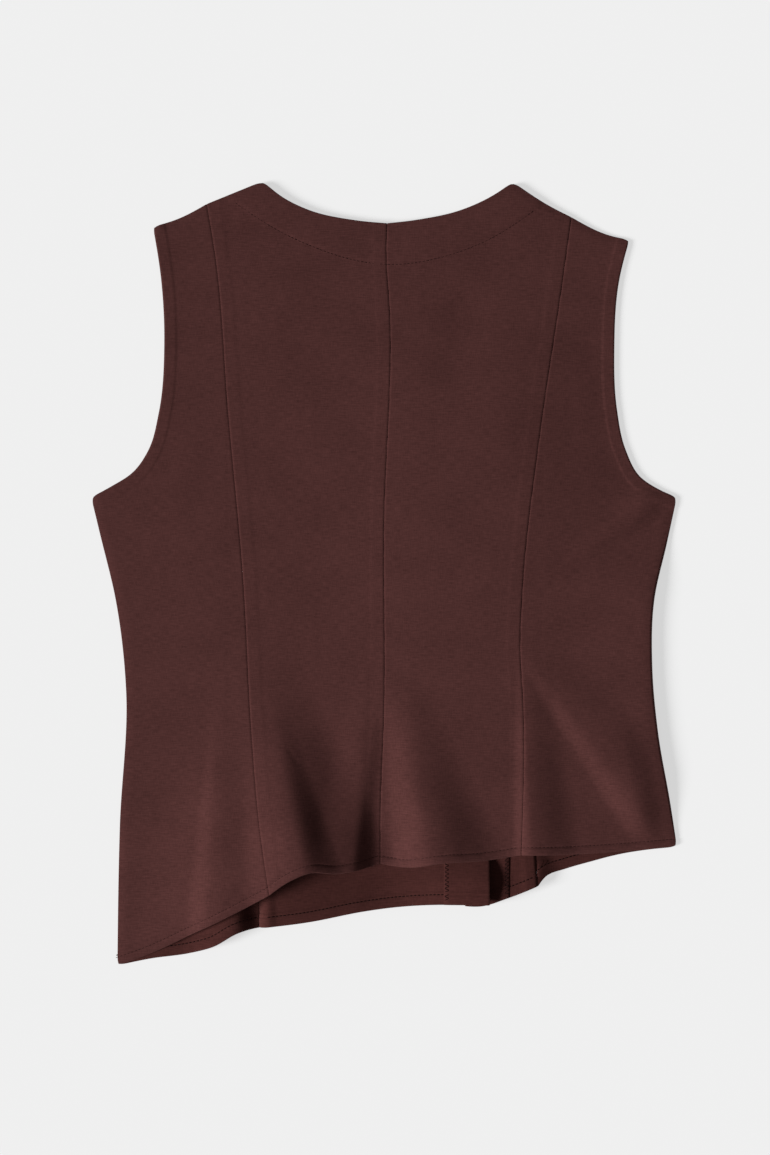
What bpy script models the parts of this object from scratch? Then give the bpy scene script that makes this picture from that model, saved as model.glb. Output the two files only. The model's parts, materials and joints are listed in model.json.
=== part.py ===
"""A sleeveless woven vest with a slanted hem, laid flat with its back up.

The fronts lie on the floor with their outside down, and the back lies on them. Sizes below are in
millimetres and the model is in metres. +X is the right of the vest as it lies, +Y runs to its neck and +Z is
up. The origin is on the floor, under the middle of the vest.
"""

import math
from collections import namedtuple

import bmesh
import bpy
import numpy as np

MM = 0.001

# Cloth
WALL = 1.0  # thickness of one layer
GAP = 0.3  # clearance at a seam and between two layers

# How the back lies on the fronts
LOFT = 2.8  # height that the back gains away from its sides
LOFT_REACH = 60.0  # distance from a side over which it gains it
FOLD_REACH = 30.0  # distance from a side over which folds start
FOLD_START = 0.35  # width of a fold at its top, as a share of its width at its end
FOLD_FADE = 40.0  # distance past its end over which a fold flattens
SLOPE_STEP = 0.5  # distance over which the slope of the cloth is measured

# Closure: the right front lies under the left one, on a row of buttons
CLOSURE_X = 74.4  # middle of the overlap
OVERLAP = 19.2
CLOSURE_TOP = 90.0  # height on the vest where the neckline starts
FACING_WIDTH = 36.0
FACING_MARGIN = 0.15  # least share of a front's width that a facing leaves free
BUTTON_SIZE = 15.0
BUTTON_THICKNESS = 2.5
BUTTON_ROUNDING = 0.7
BUTTON_SIDES = 24
BUTTON_COUNT = 5
BUTTON_SPACING = 60.0
TOP_BUTTON_Y = 75.0
RIGHT_RISE = BUTTON_THICKNESS + GAP  # height of the right front over the buttons
LEFT_RISE = RIGHT_RISE + 2 * (WALL + GAP)  # height of the left front over the right one and its facing
BACK_RISE = 4.6  # height that the back gains over the closure
LEDGE = 14.0  # distance past the overlap that a front stays at its full height
RAMP = 60.0  # distance over which it then comes down to the floor
BACK_RAMP = 110.0
CLOSURE_FADE = 70.0  # distance over which the rise ends above the closure
CLOSURE_REST = 55.0  # distance above the closure's top where it starts to end

# Grid steps along and across the panels
BACK_STEPS = 28
FRONT_STEPS = 18
CENTRE_STEPS = 16
SIDE_STEPS = 13
LEFT_SIDE_STEPS = 18  # of a side back's steps upwards, those below its armhole
RIGHT_SIDE_STEPS = 16
FRONT_SIDE_STEPS = 8
FRONT_LOWER_STEPS = 11  # of a front's steps upwards, those below its armhole or neckline
SHOULDER_STEPS = 5  # of a centre back's steps, those along its shoulder
FACING_STEPS = 4
NECK_FACING_STEPS = 18
NECK_FACING_ROWS = 2

CLOTH_COLOUR = (0.070, 0.027, 0.026, 1.0)
CLOTH_ROUGHNESS = 0.9
INSIDE_COLOUR = (0.062, 0.024, 0.023, 1.0)
BUTTON_COLOUR = (0.035, 0.016, 0.014, 1.0)
BUTTON_ROUGHNESS = 0.4
SHARP_ANGLE = 50.0  # degrees between two faces from which the edge between them is sharp

Spot = namedtuple("Spot", "x y")
Fold = namedtuple("Fold", "name top_x top_y end_x end_y height left right")

# Outline of the vest, from the hem upwards
LEFT_SIDE = [
    Spot(-213, -313),
    Spot(-211, -200),
    Spot(-206, -95),
    Spot(-214, -23),
    Spot(-227, 32),
    Spot(-234, 61),
]
LEFT_ARMHOLE = [
    Spot(-234, 61),
    Spot(-218, 69.5),
    Spot(-200, 81.5),
    Spot(-188, 99),
    Spot(-180, 128),
    Spot(-175.5, 185),
    Spot(-178, 235),
    Spot(-184.5, 277),
]
RIGHT_SIDE = [
    Spot(234, -218),
    Spot(229, -185),
    Spot(219, -127),
    Spot(214.4, -75),
    Spot(216, -21),
    Spot(226, 24),
    Spot(234, 61),
]
RIGHT_ARMHOLE = [
    Spot(234, 61),
    Spot(220, 67),
    Spot(204, 78),
    Spot(193, 99),
    Spot(186, 132),
    Spot(184, 180),
    Spot(188, 235),
    Spot(196, 266.5),
]

# Shoulders and neck, from left to right
LEFT_SHOULDER_OUTER = [Spot(-184.5, 277), Spot(-165, 283), Spot(-141.6, 295)]
LEFT_SHOULDER_INNER = [Spot(-141.6, 295), Spot(-97, 313)]
LEFT_NECK = [Spot(-97, 313), Spot(-80, 299.6), Spot(-60, 290), Spot(-24, 282), Spot(2.4, 279.4)]
RIGHT_NECK = [Spot(2.4, 279.4), Spot(29, 282.6), Spot(60, 289.5), Spot(86, 301), Spot(103, 312.4)]
RIGHT_SHOULDER_INNER = [Spot(103, 312.4), Spot(131, 294), Spot(149.6, 284.5)]
RIGHT_SHOULDER_OUTER = [Spot(149.6, 284.5), Spot(180, 270), Spot(196, 266.5)]

# Seams of the back, from the hem upwards
BACK_LEFT_SEAM = [
    Spot(-91, -255.5),
    Spot(-99.5, -197),
    Spot(-105.6, -129),
    Spot(-112.8, -1),
    Spot(-124.4, 127),
    Spot(-135, 255),
    Spot(-141.6, 295),
]
CENTRE_SEAM = [
    Spot(-3, -231.5),
    Spot(-3, -195),
    Spot(0, -109),
    Spot(0, 40),
    Spot(4.8, 203),
    Spot(1.8, 258),
    Spot(2.4, 279.4),
]
BACK_RIGHT_SEAM = [
    Spot(109.7, -224.3),
    Spot(111, -105),
    Spot(108.6, -60),
    Spot(110.4, -13),
    Spot(124.8, 115),
    Spot(141.6, 227),
    Spot(149.6, 284.5),
]

# Hem of the back, panel by panel from left to right
HEM_SIDE_LEFT = [
    Spot(-213, -313),
    Spot(-187, -303.6),
    Spot(-152, -287),
    Spot(-110.4, -266),
    Spot(-91, -255.5),
]
HEM_CENTRE_LEFT = [
    Spot(-91, -255.5),
    Spot(-74, -243.6),
    Spot(-58, -237.4),
    Spot(-39, -238.6),
    Spot(-3, -231.5),
]
HEM_CENTRE_RIGHT = [
    Spot(-3, -231.5),
    Spot(17.6, -234.4),
    Spot(45, -230.5),
    Spot(83, -228.4),
    Spot(109.7, -224.3),
]
HEM_SIDE_RIGHT = [
    Spot(109.7, -224.3),
    Spot(150, -224),
    Spot(182, -222.3),
    Spot(212, -220),
    Spot(234, -218),
]

# Seams of the front, from the hem upwards
FRONT_LEFT_SEAM = [
    Spot(-99, -282.6),
    Spot(-103, -200),
    Spot(-107, -129),
    Spot(-113, -1),
    Spot(-124.4, 127),
    Spot(-135, 255),
    Spot(-141.6, 295),
]
FRONT_RIGHT_SEAM = [
    Spot(122.5, -249.3),
    Spot(117, -150),
    Spot(112, -60),
    Spot(112, -13),
    Spot(124.8, 115),
    Spot(141.6, 227),
    Spot(149.6, 284.5),
]
LEFT_FRONT_EDGE = [Spot(CLOSURE_X + OVERLAP / 2, -263.6), Spot(CLOSURE_X + OVERLAP / 2, CLOSURE_TOP)]
LEFT_NECKLINE = [LEFT_FRONT_EDGE[-1], Spot(-97, 313)]
RIGHT_FRONT_EDGE = [Spot(CLOSURE_X - OVERLAP / 2, -265.4), Spot(CLOSURE_X - OVERLAP / 2, CLOSURE_TOP)]
RIGHT_NECKLINE = [RIGHT_FRONT_EDGE[-1], Spot(103, 312.4)]

# Hem of the front, panel by panel from left to right
FRONT_HEM_SIDE_LEFT = [
    Spot(-213, -313),
    Spot(-187, -307.6),
    Spot(-155, -303),
    Spot(-137, -298),
    Spot(-115, -286),
    Spot(-99, -282.6),
]
FRONT_HEM_CENTRE_LEFT = [
    Spot(-99, -282.6),
    Spot(-61, -278),
    Spot(-16, -269.6),
    Spot(29, -264.5),
    LEFT_FRONT_EDGE[0],
]
FRONT_HEM_CENTRE_RIGHT = [RIGHT_FRONT_EDGE[0], Spot(77, -265.6), Spot(99, -258.8), Spot(122.5, -249.3)]
FRONT_HEM_SIDE_RIGHT = [
    Spot(122.5, -249.3),
    Spot(129, -241.5),
    Spot(144, -236),
    Spot(165, -230),
    Spot(184, -225),
    Spot(234, -218),
]

# Lower edge of the back neck facing, and where it meets the shoulders
NECK_FACING_EDGE = [Spot(-126, 301.3), Spot(-75, 269), Spot(3, 246.8), Spot(78, 264), Spot(128, 296)]

# Largest folds. Each crest runs from its top, where the cloth is smooth, to its end at or past the hem
BACK_FOLDS = [
    Fold("side_left", -131, -85, -140, -290, 3.6, 20, 40),
    Fold("left_rise", -101, -60, -63, -250, 14.0, 150, 80),
    Fold("left_of_centre", -94, -95, -62, -250, 7.0, 54, 34),
    Fold("small_left", -16, -100, -28, -250, 2.6, 36, 18),
    Fold("centre_trough", 3, -95, -7, -250, -4.0, 20, 44),
    Fold("right_of_centre", 2, -66, 45, -245, 9.0, 32, 60),
    Fold("right_seam", 110, -40, 119, -240, 5.0, 18, 44),
    Fold("slanted", 96, -39, 206, -188, 5.0, 24, 58),
    Fold("underarm", 132, 0, 222, 60, 2.4, 16, 24),
]
LEFT_FRONT_FOLDS = [
    Fold("front_side", -122, -190, -119, -300, 9.0, 46, 22),
    Fold("front_left", -95, -170, -94, -282, 8.0, 10, 170),
    Fold("front_edge", 86, -232, 86, -255, 7.5, 90, 10),
]
RIGHT_FRONT_FOLDS = [Fold("front_right", 117, -200, 121, -258, 5.0, 50, 28)]


def smooth(spots, per_span=24):
    """Points along a smooth curve through the spots."""
    p = np.array(spots, float)
    step = np.linalg.norm(np.diff(p, axis=0), axis=1)[:, None]
    slope = np.diff(p, axis=0) / step
    inner = (slope[:-1] * step[1:] + slope[1:] * step[:-1]) / (step[1:] + step[:-1])
    first = slope[:1] if len(inner) == 0 else 1.5 * slope[:1] - 0.5 * inner[:1]
    last = slope[-1:] if len(inner) == 0 else 1.5 * slope[-1:] - 0.5 * inner[-1:]
    tangent = np.concatenate([first, inner, last])
    t = np.linspace(0, 1, per_span, endpoint=False)[:, None]
    spans = []
    for k in range(len(p) - 1):
        spans.append(
            (2 * t**3 - 3 * t**2 + 1) * p[k]
            + (t**3 - 2 * t**2 + t) * step[k] * tangent[k]
            + (3 * t**2 - 2 * t**3) * p[k + 1]
            + (t**3 - t**2) * step[k] * tangent[k + 1]
        )
    return np.concatenate(spans + [p[-1:]])


def evenly(spots, steps):
    """The points that cut a smooth curve through the spots into equal steps."""
    line = smooth(spots)
    run = np.concatenate([[0], np.cumsum(np.linalg.norm(np.diff(line, axis=0), axis=1))])
    at = np.linspace(0, run[-1], steps + 1)
    return np.column_stack([np.interp(at, run, line[:, axis]) for axis in (0, 1)])


def joined(*runs):
    """Even points along several curves that meet end to end, each given with its steps."""
    parts = [evenly(spots, steps) for spots, steps in runs]
    return np.concatenate([parts[0]] + [part[1:] for part in parts[1:]])


def patch(bottom, top, left, right):
    """A grid of points that fills four edges: rows run up and columns run to the right."""
    u = np.linspace(0, 1, len(bottom))[None, :, None]
    v = np.linspace(0, 1, len(left))[:, None, None]
    across = (1 - u) * left[:, None] + u * right[:, None]
    upwards = (1 - v) * bottom[None] + v * top[None]
    corners = (1 - v) * ((1 - u) * bottom[0] + u * bottom[-1]) + v * ((1 - u) * top[0] + u * top[-1])
    return across + upwards - corners


def apart(grid, left=0.0, right=0.0):
    """The grid with its left and right columns moved in, to leave half a gap at a seam."""
    grid = grid.copy()
    grid[:, 0, 0] += left
    grid[:, -1, 0] -= right
    return grid


def with_strip(grid, width, steps, at_left):
    """The grid with its columns spread so that the last few make a strip of one width along an edge."""
    rows = grid if not at_left else grid[:, ::-1]
    plain = rows.shape[1] - 1 - steps
    spread = []
    for row in rows:
        run = np.concatenate([[0], np.cumsum(np.linalg.norm(np.diff(row, axis=0), axis=1))])
        edge = max(run[-1] - width, run[-1] * FACING_MARGIN)
        at = np.concatenate([np.linspace(0, edge, plain + 1), np.linspace(edge, run[-1], steps + 1)[1:]])
        spread.append(np.column_stack([np.interp(at, run, row[:, axis]) for axis in (0, 1)]))
    spread = np.array(spread)
    return spread if not at_left else spread[:, ::-1]


def ease(t):
    """0 up to t = 0, 1 from t = 1, and a smooth rise between."""
    t = np.clip(t, 0, 1)
    return t * t * (3 - 2 * t)


LEFT_OUTLINE = np.concatenate([smooth(LEFT_SIDE), smooth(LEFT_ARMHOLE)[1:]])
RIGHT_OUTLINE = np.concatenate([smooth(RIGHT_SIDE), smooth(RIGHT_ARMHOLE)[1:]])


def inset(x, y):
    """Distance across the vest from its nearer side."""
    from_left = x - np.interp(y, LEFT_OUTLINE[:, 1], LEFT_OUTLINE[:, 0])
    from_right = np.interp(y, RIGHT_OUTLINE[:, 1], RIGHT_OUTLINE[:, 0]) - x
    return np.minimum(from_left, from_right)


def ridge(fold, x, y):
    """Height of one fold: it grows along its crest, falls away on both sides and flattens past its end."""
    run_x, run_y = fold.end_x - fold.top_x, fold.end_y - fold.top_y
    length = math.hypot(run_x, run_y)
    along = ((x - fold.top_x) * run_x + (y - fold.top_y) * run_y) / length
    share = np.clip(along / length, 0, 1)
    aside = ((y - fold.top_y) * run_x - (x - fold.top_x) * run_y) / length
    width = np.where(aside < 0, fold.left, fold.right) * (FOLD_START + (1 - FOLD_START) * share)
    bell = 0.5 * (1 + np.cos(math.pi * np.clip(aside / width, -1, 1)))
    return fold.height * ease(share) * ease(1 - (along - length) / FOLD_FADE) * bell


def below_neckline(y):
    """1 beside the closure and 0 well above it."""
    return ease((CLOSURE_TOP + CLOSURE_REST + CLOSURE_FADE - y) / CLOSURE_FADE)


def back_height(x, y):
    """Height of the underside of the back."""
    away = inset(x, y)
    beside = np.abs(x - CLOSURE_X) - OVERLAP
    closure = BACK_RISE * ease(1 - beside / BACK_RAMP) * below_neckline(y)
    folds = sum(ridge(fold, x, y) for fold in BACK_FOLDS)
    return WALL + GAP + LOFT * ease(away / LOFT_REACH) + (closure + folds) * ease(away / FOLD_REACH)


def left_front_height(x, y):
    """Height of the underside of the left front, which climbs onto the right front."""
    climb = ease(1 - (RIGHT_FRONT_EDGE[0].x - LEDGE - x) / RAMP)
    return LEFT_RISE * climb * below_neckline(y) + sum(ridge(fold, x, y) for fold in LEFT_FRONT_FOLDS)


def right_front_height(x, y):
    """Height of the underside of the right front, which lies on the buttons."""
    climb = ease(1 - (x - LEFT_FRONT_EDGE[0].x - LEDGE) / RAMP)
    return RIGHT_RISE * climb * below_neckline(y) + sum(ridge(fold, x, y) for fold in RIGHT_FRONT_FOLDS)


def raised(grid, height):
    """The flat grid as points in space, and the direction out of the cloth at each."""
    x, y = grid[..., 0], grid[..., 1]
    slope_x = (height(x + SLOPE_STEP, y) - height(x - SLOPE_STEP, y)) / (2 * SLOPE_STEP)
    slope_y = (height(x, y + SLOPE_STEP) - height(x, y - SLOPE_STEP)) / (2 * SLOPE_STEP)
    normals = np.dstack([-slope_x, -slope_y, np.ones_like(x)])
    return np.dstack([grid, height(x, y)]), normals / np.linalg.norm(normals, axis=2, keepdims=True)


def material(name, colour, roughness):
    made = bpy.data.materials.new(name)
    made.use_nodes = True
    shader = made.node_tree.nodes["Principled BSDF"]
    shader.inputs["Base Color"].default_value = colour
    shader.inputs["Roughness"].default_value = roughness
    shader.inputs["Metallic"].default_value = 0.0
    return made


def placed(name, mesh, finish):
    """A node of the vest, made from a mesh."""
    made = bpy.data.objects.new(name, mesh)
    bpy.context.scene.collection.objects.link(made)
    made.data.materials.append(finish)
    made.parent = VEST
    return made


def cloth(name, points, normals, colour):
    """A wall of cloth: a sheet through a grid of points in millimetres, thickened along the normals."""
    rows, columns = points.shape[:2]
    wall = bmesh.new()
    under = [[wall.verts.new(spot * MM) for spot in row] for row in points]
    over = [[wall.verts.new(spot * MM) for spot in row] for row in points + normals * WALL]
    for i in range(rows - 1):
        for j in range(columns - 1):
            wall.faces.new((over[i][j], over[i][j + 1], over[i + 1][j + 1], over[i + 1][j]))
            wall.faces.new((under[i][j], under[i + 1][j], under[i + 1][j + 1], under[i][j + 1]))
    turns = [(0, j) for j in range(columns - 1)] + [(i, columns - 1) for i in range(rows - 1)]
    turns += [(rows - 1, j) for j in range(columns - 1, 0, -1)] + [(i, 0) for i in range(rows - 1, 0, -1)]
    for (i, j), (k, m) in zip(turns, turns[1:] + turns[:1]):
        wall.faces.new((under[i][j], under[k][m], over[k][m], over[i][j]))
    mesh = bpy.data.meshes.new(name)
    wall.to_mesh(mesh)
    wall.free()
    mesh.shade_smooth()
    mesh.set_sharp_from_angle(angle=math.radians(SHARP_ANGLE))
    return placed(name, mesh, material(name, colour, CLOTH_ROUGHNESS))


def panel(name, grid, height):
    """A panel of cloth whose underside lies at the given height."""
    return cloth(name, *raised(grid, height), CLOTH_COLOUR)


def make_back():
    left_seam = evenly(BACK_LEFT_SEAM, BACK_STEPS)
    centre_seam = evenly(CENTRE_SEAM, BACK_STEPS)
    right_seam = evenly(BACK_RIGHT_SEAM, BACK_STEPS)
    side_left = patch(
        evenly(HEM_SIDE_LEFT, SIDE_STEPS),
        evenly(LEFT_SHOULDER_OUTER, SIDE_STEPS),
        joined((LEFT_SIDE, LEFT_SIDE_STEPS), (LEFT_ARMHOLE, BACK_STEPS - LEFT_SIDE_STEPS)),
        left_seam,
    )
    centre_left = patch(
        evenly(HEM_CENTRE_LEFT, CENTRE_STEPS),
        joined((LEFT_SHOULDER_INNER, SHOULDER_STEPS), (LEFT_NECK, CENTRE_STEPS - SHOULDER_STEPS)),
        left_seam,
        centre_seam,
    )
    centre_right = patch(
        evenly(HEM_CENTRE_RIGHT, CENTRE_STEPS),
        joined((RIGHT_NECK, CENTRE_STEPS - SHOULDER_STEPS), (RIGHT_SHOULDER_INNER, SHOULDER_STEPS)),
        centre_seam,
        right_seam,
    )
    side_right = patch(
        evenly(HEM_SIDE_RIGHT, SIDE_STEPS),
        evenly(RIGHT_SHOULDER_OUTER, SIDE_STEPS),
        right_seam,
        joined((RIGHT_SIDE, RIGHT_SIDE_STEPS), (RIGHT_ARMHOLE, BACK_STEPS - RIGHT_SIDE_STEPS)),
    )
    panel("back_side_left", apart(side_left, right=GAP / 2), back_height)
    panel("back_center_left", apart(centre_left, GAP / 2, GAP / 2), back_height)
    panel("back_center_right", apart(centre_right, GAP / 2, GAP / 2), back_height)
    panel("back_side_right", apart(side_right, left=GAP / 2), back_height)


def make_neck_facing():
    """The facing inside the back neck, one wall and one gap under the back."""
    ends = evenly(NECK_FACING_EDGE, 1)
    grid = patch(
        evenly(NECK_FACING_EDGE, NECK_FACING_STEPS),
        joined((LEFT_NECK, NECK_FACING_STEPS // 2), (RIGHT_NECK, NECK_FACING_STEPS // 2)),
        evenly([ends[0], LEFT_NECK[0]], NECK_FACING_ROWS),
        evenly([ends[1], RIGHT_NECK[-1]], NECK_FACING_ROWS),
    )
    points, normals = raised(grid, back_height)
    cloth("back_neck_facing", points - normals * (WALL + GAP), normals, INSIDE_COLOUR)


def make_fronts():
    left_seam = evenly(FRONT_LEFT_SEAM, FRONT_STEPS)
    right_seam = evenly(FRONT_RIGHT_SEAM, FRONT_STEPS)
    side_left = patch(
        evenly(FRONT_HEM_SIDE_LEFT, FRONT_SIDE_STEPS),
        evenly(LEFT_SHOULDER_OUTER, FRONT_SIDE_STEPS),
        joined((LEFT_SIDE, FRONT_LOWER_STEPS), (LEFT_ARMHOLE, FRONT_STEPS - FRONT_LOWER_STEPS)),
        left_seam,
    )
    side_right = patch(
        evenly(FRONT_HEM_SIDE_RIGHT, FRONT_SIDE_STEPS),
        evenly(RIGHT_SHOULDER_OUTER, FRONT_SIDE_STEPS),
        right_seam,
        joined((RIGHT_SIDE, FRONT_LOWER_STEPS), (RIGHT_ARMHOLE, FRONT_STEPS - FRONT_LOWER_STEPS)),
    )
    centre_left = patch(
        evenly(FRONT_HEM_CENTRE_LEFT, CENTRE_STEPS),
        evenly(LEFT_SHOULDER_INNER, CENTRE_STEPS),
        left_seam,
        joined((LEFT_FRONT_EDGE, FRONT_LOWER_STEPS), (LEFT_NECKLINE, FRONT_STEPS - FRONT_LOWER_STEPS)),
    )
    centre_right = patch(
        evenly(FRONT_HEM_CENTRE_RIGHT, FRONT_SIDE_STEPS),
        evenly(RIGHT_SHOULDER_INNER, FRONT_SIDE_STEPS),
        joined((RIGHT_FRONT_EDGE, FRONT_LOWER_STEPS), (RIGHT_NECKLINE, FRONT_STEPS - FRONT_LOWER_STEPS)),
        right_seam,
    )
    centre_left = with_strip(apart(centre_left, left=GAP / 2), FACING_WIDTH, FACING_STEPS, at_left=False)
    centre_right = with_strip(apart(centre_right, right=GAP / 2), FACING_WIDTH, FACING_STEPS, at_left=True)
    panel("front_side_left", apart(side_left, right=GAP / 2), left_front_height)
    panel("front_center_left", centre_left, left_front_height)
    panel("front_center_right", centre_right, right_front_height)
    panel("front_side_right", apart(side_right, left=GAP / 2), right_front_height)
    for name, grid, height, strip in (
        ("front_facing_left", centre_left, left_front_height, slice(-FACING_STEPS - 1, None)),
        ("front_facing_right", centre_right, right_front_height, slice(None, FACING_STEPS + 1)),
    ):
        points, normals = raised(grid[:, strip], height)
        cloth(name, points + normals * (WALL + GAP), normals, INSIDE_COLOUR)


def make_buttons():
    """Plain round buttons on the floor, under the overlap."""
    for number in range(BUTTON_COUNT):
        name = f"button_{number + 1}"
        disc = bmesh.new()
        bmesh.ops.create_cone(
            disc,
            cap_ends=True,
            segments=BUTTON_SIDES,
            radius1=BUTTON_SIZE / 2 * MM,
            radius2=BUTTON_SIZE / 2 * MM,
            depth=BUTTON_THICKNESS * MM,
        )
        rims = [edge for edge in disc.edges if abs(edge.verts[0].co.z - edge.verts[1].co.z) < 1e-9]
        bmesh.ops.bevel(disc, geom=rims, offset=BUTTON_ROUNDING * MM, segments=2, profile=0.5, affect="EDGES")
        mesh = bpy.data.meshes.new(name)
        disc.to_mesh(mesh)
        disc.free()
        mesh.shade_smooth()
        mesh.set_sharp_from_angle(angle=math.radians(SHARP_ANGLE))
        made = placed(name, mesh, material(name, BUTTON_COLOUR, BUTTON_ROUGHNESS))
        made.location = (
            CLOSURE_X * MM,
            (TOP_BUTTON_Y - number * BUTTON_SPACING) * MM,
            BUTTON_THICKNESS / 2 * MM,
        )


for old in list(bpy.data.objects):
    bpy.data.objects.remove(old, do_unlink=True)
VEST = bpy.data.objects.new("vest", None)
bpy.context.scene.collection.objects.link(VEST)
make_back()
make_neck_facing()
make_fronts()
make_buttons()
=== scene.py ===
"""Looks of a sleeveless woven vest, laid flat with its back up.

Shells of cloth with seams, hems, stitches and creases take the place of the plain panels. Sizes are in
millimetres and the scene is in metres. +X is the right of the vest as it lies, +Y runs to its neck and
+Z is up.
"""

import json
import math
from collections import namedtuple

import bmesh
import bpy
import numpy as np
from mathutils import Matrix, Vector

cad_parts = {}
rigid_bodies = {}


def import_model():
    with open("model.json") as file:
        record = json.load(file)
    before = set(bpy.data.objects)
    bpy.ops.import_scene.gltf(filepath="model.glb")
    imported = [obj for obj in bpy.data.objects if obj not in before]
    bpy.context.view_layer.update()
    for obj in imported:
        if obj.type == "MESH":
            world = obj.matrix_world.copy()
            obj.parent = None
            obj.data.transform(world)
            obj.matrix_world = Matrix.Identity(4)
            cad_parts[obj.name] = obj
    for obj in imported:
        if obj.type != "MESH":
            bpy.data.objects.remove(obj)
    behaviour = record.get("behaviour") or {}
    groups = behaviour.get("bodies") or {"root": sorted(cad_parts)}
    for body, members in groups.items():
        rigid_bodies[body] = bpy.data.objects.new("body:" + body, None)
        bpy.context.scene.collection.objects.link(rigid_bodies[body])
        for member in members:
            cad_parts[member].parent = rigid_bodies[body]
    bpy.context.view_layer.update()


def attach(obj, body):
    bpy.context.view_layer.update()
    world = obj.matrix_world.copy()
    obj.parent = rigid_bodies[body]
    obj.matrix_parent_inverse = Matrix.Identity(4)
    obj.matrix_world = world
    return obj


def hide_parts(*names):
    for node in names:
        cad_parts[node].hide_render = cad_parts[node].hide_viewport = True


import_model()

MM = 0.001

Spot = namedtuple("Spot", "x y")
Fold = namedtuple("Fold", "name top_x top_y end_x end_y height left right")
Crease = namedtuple("Crease", "x y end_x end_y height width")
Wave = namedtuple("Wave", "size length turn start")
BarSection = namedtuple("BarSection", "along swell sink")
Noise = namedtuple("Noise", "scale detail")
BackPanel = namedtuple("BackPanel", "node hem left_seam left_over right_seam right_over rests_on")
FrontPanel = namedtuple("FrontPanel", "node hem seam over height rests_on")

# Cloth
WALL = 1.0  # height of a panel's upper face over the height at which it lies
GAP = 0.3  # clearance at a seam and between two layers
LAYER_GAP = 0.2  # clearance of a front facing
THICKNESS = 0.8  # of one layer
TURNING = 0.5  # what a turned-in edge adds to the thickness
FACING_THICKNESS = 0.7
NECK_FACING_THICKNESS = 0.45
NECK_FACING_INSET = 3.0  # of its ends from the shoulder seams
NECK_FACING_GAP = 0.12  # clearance under the back
CLOTH_EDGE = 0.4  # the most that the rounded hem or upper edge of a panel adds to it
FACING_EDGE = 0.3
SIDE_EDGE = 0.16  # what the rounded side of a panel adds to it, so that two sides meet at a seam
RIM_TURNS = (40, 90, 140)  # angles of the points round an edge, in degrees

# How the back lies on the fronts
LOFT = 1.8
LOFT_REACH = 100.0
FOLD_REACH = 30.0  # the folds grow over this distance from a side
SLOPE_STEP = 0.5
FOLD_START = 0.35  # width of a fold at its top, as a share of that at its end
FOLD_FADE = 40.0  # length over which a fold dies away past its end
CREASE_ENDS = 3  # a crease fades over one part in so many of its length at each end
EDGE_DROP = 0.62  # what the back comes down at a side or shoulder seam, to meet the front
EDGE_ROLL = 8.0
CORNER_CUT = 1.5  # what a corner of the outline is worn round
CORNER_REACH = 7.0

# Bulge of the back along its right side
SIDE_BULGE = 5.0
SIDE_BULGE_REACH = 90.0
SIDE_BULGE_TOP = 40.0
SIDE_BULGE_END = -215.0
SIDE_BULGE_FADE = 60.0
SIDE_TURN = 1.8  # width over which it comes down to the side seam

# Closure
CLOSURE_X = 74.4
OVERLAP = 19.2
CLOSURE_TOP = 90.0
FACING_WIDTH = 36.0
FACING_SHARE = 0.85  # the most of a panel's width that its facing takes
BUTTON_THICKNESS = 2.5
BUTTON_SIDES = 48
BUTTON_COUNT = 5
BUTTON_SPACING = 60.0
TOP_BUTTON_Y = 75.0
SHARP_ANGLE = 40.0  # degrees from which an edge of a button stays sharp
HOLE_SIZE = 1.7
HOLE_OFFSET = 1.5
HOLE_SIDES = 16
DRILL_LENGTH = 10.0
WELD = 0.001  # distance at which points of a turned button are one
RIGHT_RISE = BUTTON_THICKNESS + GAP
LEFT_RISE = RIGHT_RISE + THICKNESS + FACING_THICKNESS + 2 * LAYER_GAP
BACK_RISE = 3.6
LEDGE = 14.0
RAMP = 60.0
BACK_RAMP = 110.0
CLOSURE_FADE = 70.0
CLOSURE_REST = 55.0

# Seams
SEAM_DIP = 0.27
SEAM_DIP_WIDTH = 0.8
SEAM_PUCKER = 0.1
SEAM_PUCKER_REACH = 5.0
LEFT_SEAM_PHASE = 0.3
RIGHT_SEAM_PHASE = 1.7
FRONT_SEAM_PHASE = 0.9
FRONT_SEAM_DIP = 0.25  # on the outside of the fronts
FRONT_INSIDE_DIP = 0.3
ALLOWANCE = 10.0
ALLOWANCE_RAISE = 0.16
ALLOWANCE_WAVE = 0.5
ALLOWANCE_WAVE_STRETCH = 3
ALLOWANCE_FADE_START = 2.0  # before the allowance's edge
ALLOWANCE_FADE = 3.5
FRONT_ALLOWANCE = 0.6
FRONT_ALLOWANCE_FADE = 0.8
FRONT_ALLOWANCE_START = 1.5
OVERLOCK_PRINT = 0.1
OVERLOCK_PRINT_WIDTH = 0.9
OVERLOCK_PITCH = 3.2
OVERLOCK_WIDTH = 4.0
UNEVEN_WAVES = [Wave(0.45, 3.7, 1.0, 0.0), Wave(0.3, 2.3, 2.1, 1.0), Wave(0.25, 7.9, 0.7, 2.0)]

# Hems
HEM_STITCH = 6.0  # distance of the stitches from the edge
HEM_GROOVE = 0.3
HEM_GROOVE_WIDTH = 0.7
HEM_PUFF = 0.25
HEM_PUFF_EASE = 1.5
HEM_RIPPLE = 0.12
HEM_RIPPLE_SPREAD = 18.0  # square millimetres
HEM_PHASE = 0.4
HEM_FADE = 60.0  # the turned hems are pressed thin this far from a side
HEM_TURN_PAST = 2.0  # the turned-in edge ends this far past the stitches
HEM_TURN_EASE = 1.0
FRONT_HEM_STITCH = 7.8
FRONT_HEM_GROOVE = 0.5
FRONT_HEM_GROOVE_WIDTH = 0.9
FRONT_HEM_PHASE = 1.3
FRONT_HEM_TURN = 9.0
FRONT_TURNING = 0.9
FRONT_TURN_EASE = 0.7

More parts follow.
